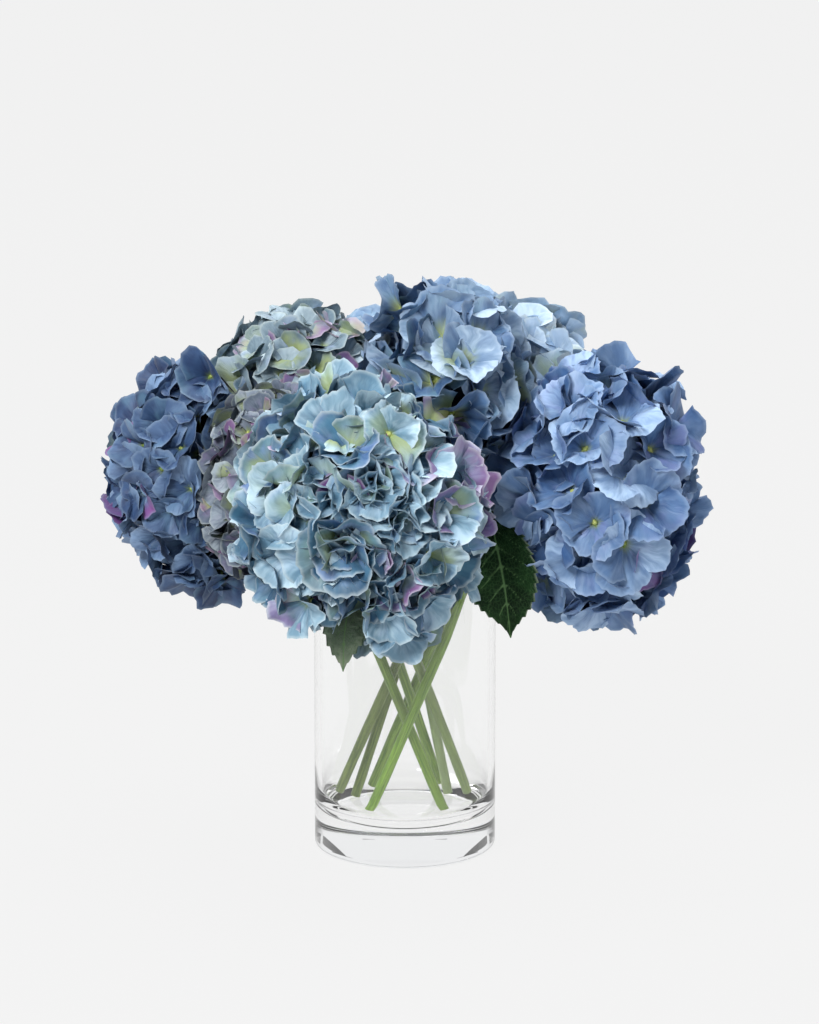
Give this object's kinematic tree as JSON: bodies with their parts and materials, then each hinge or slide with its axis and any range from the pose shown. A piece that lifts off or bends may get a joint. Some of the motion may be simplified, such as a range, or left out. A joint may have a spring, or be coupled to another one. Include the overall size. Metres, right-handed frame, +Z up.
{
  "type": "hydrangeas in a vase",
  "caption": "Cut blue hydrangea mopheads on crossing green stems, standing in a clear glass cylinder vase as table decoration.",
  "frame": {"origin": "middle of the vase's flat underside, on the surface it stands on", "axes": "+Z up along the vase's axis, -Y towards the viewer of the front, +X to the right seen from the front"},
  "size_m": [0.4307, 0.365, 0.4112],
  "materials": {
    "clear_glass": "gloss",
    "stem_green": "satin",
    "leaf_green": "satin",
    "petal_slate_blue": "matte",
    "petal_grey_green": "matte",
    "petal_pale_teal": "matte",
    "petal_mid_blue": "matte",
    "petal_cornflower": "matte"
  },
  "bodies": {
    "root": {"vase": "clear_glass", "stem_left": "stem_green", "stem_midleft": "stem_green", "stem_backleft": "stem_green", "stem_front": "stem_green", "stem_top": "stem_green", "stem_right": "stem_green", "stem_backright": "stem_green", "stem_back": "stem_green", "leaf_right": "leaf_green", "leaf_left": "leaf_green", "head_left": "petal_slate_blue", "head_midleft": "petal_grey_green", "head_backleft": "petal_grey_green", "head_front": "petal_pale_teal", "head_top": "petal_mid_blue", "head_right": "petal_cornflower", "head_backright": "petal_pale_teal", "head_back": "petal_mid_blue"}
  },
  "joints": []
}
